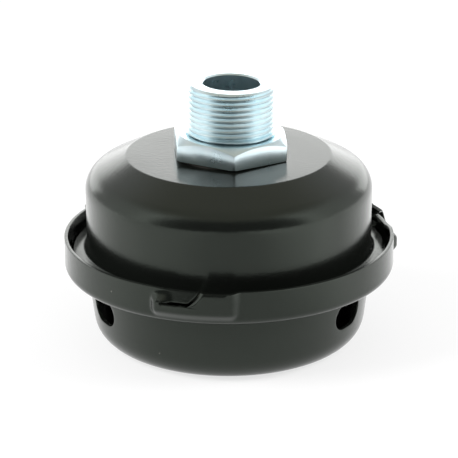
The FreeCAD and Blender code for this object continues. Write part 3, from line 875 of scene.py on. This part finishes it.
# %% Hexagon
NIPPLE_LEAN = 1.5
NIPPLE_ASIDE = 0.38
HEX_FLAT_R = 15.875
HEX_AZIMUTH = 3.5
HEX_CHAMFER_R = 15.3
COLLAR_R = 13.2
GROOVE_R = 12.1
BORE_R = 8.3
HEX_CORNER_R = HEX_FLAT_R / math.cos(math.radians(30))
hex_drop = (HEX_CORNER_R - HEX_CHAMFER_R) * math.tan(math.radians(30))
clear_selection()
bpy.ops.mesh.primitive_cylinder_add(
    vertices=6, radius=HEX_CORNER_R * MM, depth=(HEX_TOP - HEX_Z) * MM,
    location=(0, 0, (HEX_TOP + HEX_Z) / 2 * MM), rotation=(0, 0, math.radians(HEX_AZIMUTH)))
hexagon = bpy.context.object
bpy.ops.object.transform_apply(location=True, rotation=True)
bpy.ops.object.mode_set(mode="EDIT")
pick(hexagon, "edges", lambda edge, middle: abs((edge.verts[0].co - edge.verts[1].co).z) > MM)
bpy.ops.mesh.bevel(offset=0.3 * MM, segments=3)
bpy.ops.object.mode_set(mode="OBJECT")
blank = spun("blank", rounded([
    (0, HEX_Z, 0), (HEX_CORNER_R - 0.5, HEX_Z, 0), (HEX_CORNER_R + 0.2, HEX_Z + 0.4, 0),
    (HEX_CORNER_R + 0.2, HEX_TOP - hex_drop - 0.12, 0), (HEX_CHAMFER_R, HEX_TOP, 0), (0, HEX_TOP, 0)]),
    0, FULL_TURN)
boolean_with(hexagon, blank, "INTERSECT")
bevelled(hexagon, 0.12, 20)
boolean_with(nipple, hexagon, "UNION")
collar = spun("collar", rounded([
    (0, HEX_TOP - 0.3, 0), (GROOVE_R, HEX_TOP - 0.3, 0), (GROOVE_R, HEX_TOP + 0.15, 0),
    (COLLAR_R, HEX_TOP + 0.45, 0), (COLLAR_R, HEX_TOP + 0.6, 0), (12.4, HEX_TOP + 1.15, 0),
    (0, HEX_TOP + 1.15, 0)]), 0, FULL_TURN)
boolean_with(nipple, collar, "UNION")
stem = threaded_bar("stem", NIPPLE_LOW, HEX_Z + 0.3)
boolean_with(nipple, stem, "UNION")
bore = spun("bore", rounded([
    (0, NIPPLE_LOW - 1, 0), (BORE_R + 1.3, NIPPLE_LOW - 1, 0), (BORE_R, NIPPLE_LOW + 0.4, 0),
    (BORE_R, NIPPLE_TOP - 0.45, 0), (BORE_R + 0.9, NIPPLE_TOP + 0.5, 0), (0, NIPPLE_TOP + 0.5, 0)]),
    0, FULL_TURN)
boolean_with(nipple, bore, "DIFFERENCE")
lean = Matrix.Rotation(math.radians(NIPPLE_LEAN), 4, "Y")
foot = Matrix.Translation(Vector((0, 0, HEX_Z)) * MM)
nipple.data.transform(Matrix.Translation((NIPPLE_ASIDE * MM, 0, 0)) @ foot @ lean @ foot.inverted())
smoothed(nipple, 35)
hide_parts("inlet_nipple")
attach(nipple, "bell")
print("nipple:", len(nipple.data.polygons), "faces")

# %% [markdown]
# Bright zinc: a soft, slightly bluish metal with turning marks on the thread and a mottled skin from the
# bath. The colour changes a little over the surface, from steel blue to almost white.

# %% Zinc
zinc, tree, shader = new_material("bright_zinc")
where = wired(tree, "ShaderNodeTexCoord")
mottle = wired(tree, "ShaderNodeTexNoise", Scale=140.0, Detail=4.0)
link(tree, where.outputs["Object"], mottle.inputs["Vector"])
tint = wired(tree, "ShaderNodeValToRGB")
tint.color_ramp.elements[0].position = 0.3
tint.color_ramp.elements[0].color = (0.68, 0.84, 0.89, 1.0)
tint.color_ramp.elements[1].position = 0.7
tint.color_ramp.elements[1].color = (0.84, 0.96, 0.99, 1.0)
link(tree, mottle.outputs["Fac"], tint.inputs["Fac"])
link(tree, tint.outputs["Color"], shader.inputs["Base Color"])
shader.inputs["Metallic"].default_value = 1.0
link(tree, ranged(tree, mottle.outputs["Fac"], 0.22, 0.36), shader.inputs["Roughness"])
stretch = wired(tree, "ShaderNodeMapping")
stretch.inputs["Scale"].default_value = (60.0, 60.0, 2600.0)
link(tree, where.outputs["Object"], stretch.inputs["Vector"])
marks = wired(tree, "ShaderNodeTexNoise", Scale=1.0, Detail=2.0)
link(tree, stretch.outputs["Vector"], marks.inputs["Vector"])
bumped(tree, shader, marks.outputs["Fac"], 0.00002, 0.5)
nipple.data.materials.clear()
nipple.data.materials.append(zinc)
print("zinc:", len(tree.nodes), "nodes on", nipple.name)

# %% [markdown]
# The foam sleeve is what shows through the air holes. It is cut from open-cell sheet and stretched over the
# pleats, so it is a tube with soft edges and a skin of small torn cells. The tube is spun; a displacement
# gives it slow unevenness, and the cells themselves are a bump, because each is under a millimetre.

# %% Foam sleeve
FOAM_INNER_R = 30.73
FOAM_R = 33.93
FOAM_LOW = 8.7
FOAM_TOP = 47.1

foam_rows = [(FOAM_R - 0.1, FOAM_LOW + 1.5 + (FOAM_TOP - FOAM_LOW - 3) * i / 30, 0) for i in range(31)]
sleeve = spun("foam_sleeve", rounded([
    (FOAM_INNER_R, FOAM_TOP - 0.3, 0), (FOAM_INNER_R, FOAM_LOW + 0.3, 0), (FOAM_INNER_R + 0.3, FOAM_LOW, 0),
    (FOAM_R - 0.1, FOAM_LOW, 0.9)] + foam_rows + [(FOAM_R - 0.1, FOAM_TOP, 0.9),
    (FOAM_INNER_R + 0.3, FOAM_TOP, 0), (FOAM_INNER_R, FOAM_TOP - 0.3, 0)], 4), 0, [(360.0, 180)])
uneven = bpy.data.textures.new("foam_unevenness", "CLOUDS")
uneven.noise_scale = 4 * MM
apply_modifier(sleeve, "DISPLACE", texture=uneven, strength=0.3 * MM, mid_level=0.7)
make_active(sleeve)
bpy.ops.object.shade_smooth()
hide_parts("foam_wrap")
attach(sleeve, "cartridge")
print("foam sleeve:", len(sleeve.data.polygons), "faces, widest", widest(sleeve))

# %% [markdown]
# Open-cell foam is a net of thin struts. From outside it looks like many dark pits with lighter walls
# between them. A cell texture gives the distance to each pit's middle: it lowers the surface there and
# darkens the colour in the pit, as painted shade of the hollow on the charcoal foam.

# %% Foam
foam, tree, shader = new_material("charcoal_foam")
where = wired(tree, "ShaderNodeTexCoord")
cells = wired(tree, "ShaderNodeTexVoronoi", Scale=1500.0, Randomness=0.9)
link(tree, where.outputs["Object"], cells.inputs["Vector"])
pit_depth_and_shade = ranged(tree, cells.outputs["Distance"], 0.0, 1.0, 0.15, 0.55, True)
# The darker colour in the pits is painted shade; the lighter one is the charcoal foam itself.
link(tree, mixed_colour(tree, pit_depth_and_shade, (0.005, 0.005, 0.005), (0.042, 0.042, 0.040)),
     shader.inputs["Base Color"])
shader.inputs["Roughness"].default_value = 0.95
bumped(tree, shader, pit_depth_and_shade, 0.0005, 0.9)
sleeve.data.materials.append(foam)
print("foam:", len(tree.nodes), "nodes on", sleeve.name)

# %% [markdown]
# The remaining pieces keep their CAD shape, because it is right as it is, and only get their finish. The end
# caps are moulded in black rubber with a dull, slightly dusty skin. The pleated paper is resin-coated, cream
# coloured and fibrous. The core is tinned perforated sheet, and the nut and washer are plain plated steel.

# %% Rubber, paper, steel and fibre
rubber, tree, shader = new_material("moulded_rubber")
where = wired(tree, "ShaderNodeTexCoord")
bloom = wired(tree, "ShaderNodeTexNoise", Scale=90.0, Detail=5.0)
link(tree, where.outputs["Object"], bloom.inputs["Vector"])
link(tree, mixed_colour(tree, bloom.outputs["Fac"], (0.010, 0.010, 0.011), (0.035, 0.034, 0.032)),
     shader.inputs["Base Color"])
link(tree, ranged(tree, bloom.outputs["Fac"], 0.5, 0.75), shader.inputs["Roughness"])
peel = grouped(tree, peel_group, Scale=2500.0)
bumped(tree, shader, peel.outputs["Height"], 0.00004)

paper, tree, shader = new_material("resin_paper")
where = wired(tree, "ShaderNodeTexCoord")
flat = wired(tree, "ShaderNodeMapping")
flat.inputs["Scale"].default_value = (1500.0, 1500.0, 500.0)
link(tree, where.outputs["Object"], flat.inputs["Vector"])
fibres = wired(tree, "ShaderNodeTexNoise", Scale=1.0, Detail=6.0, Roughness=0.7)
link(tree, flat.outputs["Vector"], fibres.inputs["Vector"])
link(tree, mixed_colour(tree, fibres.outputs["Fac"], (0.42, 0.34, 0.20), (0.72, 0.64, 0.47)),
     shader.inputs["Base Color"])
shader.inputs["Roughness"].default_value = 0.85
bumped(tree, shader, fibres.outputs["Fac"], 0.0001, 0.6)

steel, tree, shader = new_material("plated_steel")
where = wired(tree, "ShaderNodeTexCoord")
clouds = wired(tree, "ShaderNodeTexNoise", Scale=110.0, Detail=4.0)
link(tree, where.outputs["Object"], clouds.inputs["Vector"])
link(tree, mixed_colour(tree, clouds.outputs["Fac"], (0.42, 0.43, 0.42), (0.68, 0.69, 0.68)),
     shader.inputs["Base Color"])
shader.inputs["Metallic"].default_value = 1.0
link(tree, ranged(tree, clouds.outputs["Fac"], 0.25, 0.5), shader.inputs["Roughness"])
bumped(tree, shader, clouds.outputs["Fac"], 0.00003)

fibre, tree, shader = new_material("black_fibre")
where = wired(tree, "ShaderNodeTexCoord")
flat = wired(tree, "ShaderNodeMapping")
flat.inputs["Scale"].default_value = (900.0, 900.0, 5000.0)
link(tree, where.outputs["Object"], flat.inputs["Vector"])
threads = wired(tree, "ShaderNodeTexNoise", Scale=1.0, Detail=3.0)
link(tree, flat.outputs["Vector"], threads.inputs["Vector"])
link(tree, mixed_colour(tree, threads.outputs["Fac"], (0.012, 0.011, 0.010), (0.040, 0.037, 0.032)),
     shader.inputs["Base Color"])
shader.inputs["Roughness"].default_value = 0.7
bumped(tree, shader, threads.outputs["Fac"], 0.00005)

FINISHES = {
    "top_cap": rubber, "bottom_cap": rubber, "pleated_media": paper, "core_tube": steel, "lock_nut": steel,
    "backing_washer": steel, "sealing_washer": fibre}
for name, finish in FINISHES.items():
    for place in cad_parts[name].material_slots:
        place.material = finish
print("finished:", sorted(FINISHES))
